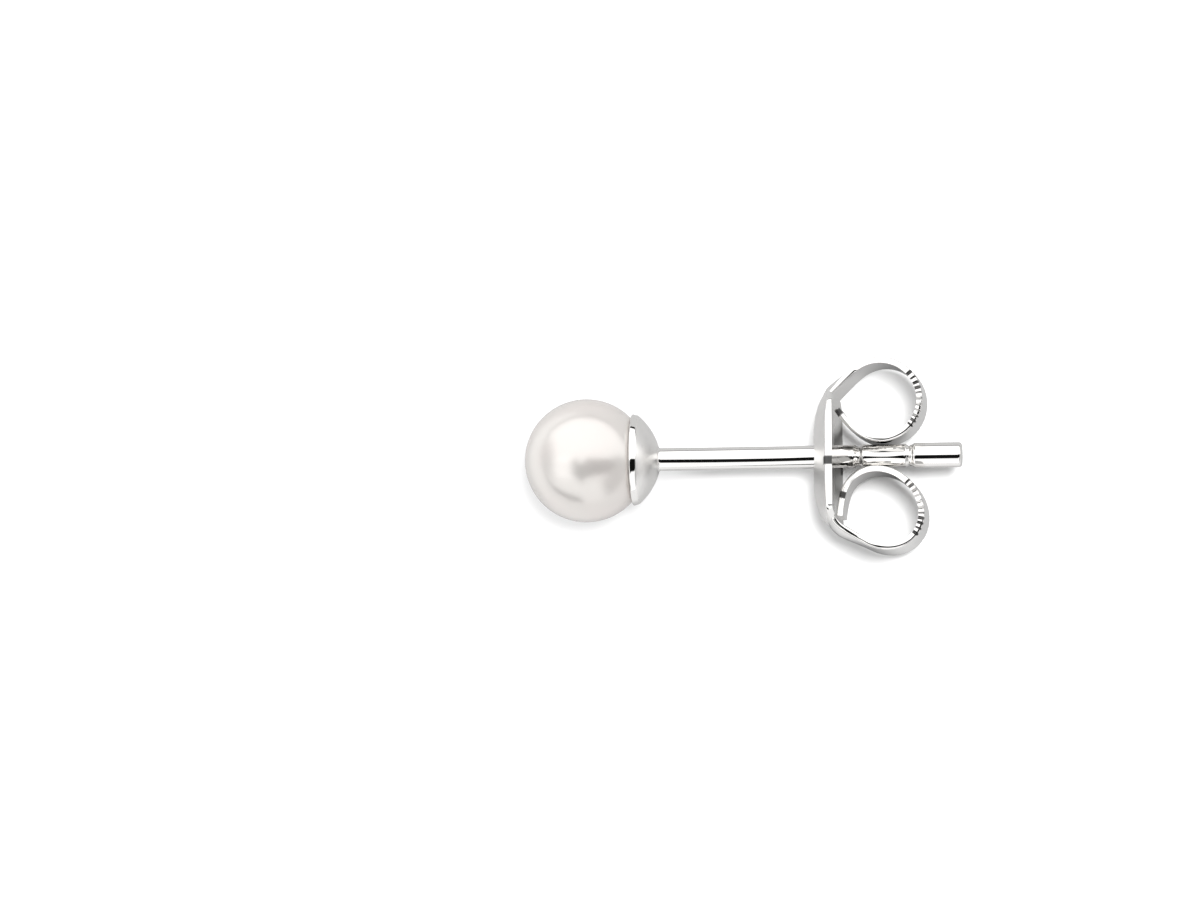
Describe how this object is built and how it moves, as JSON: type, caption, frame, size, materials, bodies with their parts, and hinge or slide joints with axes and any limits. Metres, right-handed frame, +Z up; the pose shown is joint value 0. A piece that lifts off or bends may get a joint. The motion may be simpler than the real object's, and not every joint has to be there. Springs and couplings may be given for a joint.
{
  "type": "pearl stud earring",
  "caption": "Round pearl seated in a silver cup on a straight post, with a scrolled butterfly clutch that slides along the post.",
  "frame": {"origin": "centre of the bounding box's bottom, on the surface that the stud lies on", "axes": "+X along the post, from the pearl to the post's tip; +Y across the clutch's two scrolls; +Z up"},
  "size_m": [0.0142, 0.0062, 0.004],
  "materials": {
    "nacre": "smooth lustrous white nacre",
    "silver": "mirror-polished rhodium-plated silver"
  },
  "bodies": {
    "stud": {"pearl": "nacre", "cup_and_post": "silver"},
    "clutch": {"butterfly_clutch": "silver"}
  },
  "joints": [
    {"name": "clutch_slide", "type": "slide", "parent": "stud", "child": "clutch", "axis": [1, 0, 0], "range_m": [-0.005, 0.005]}
  ]
}
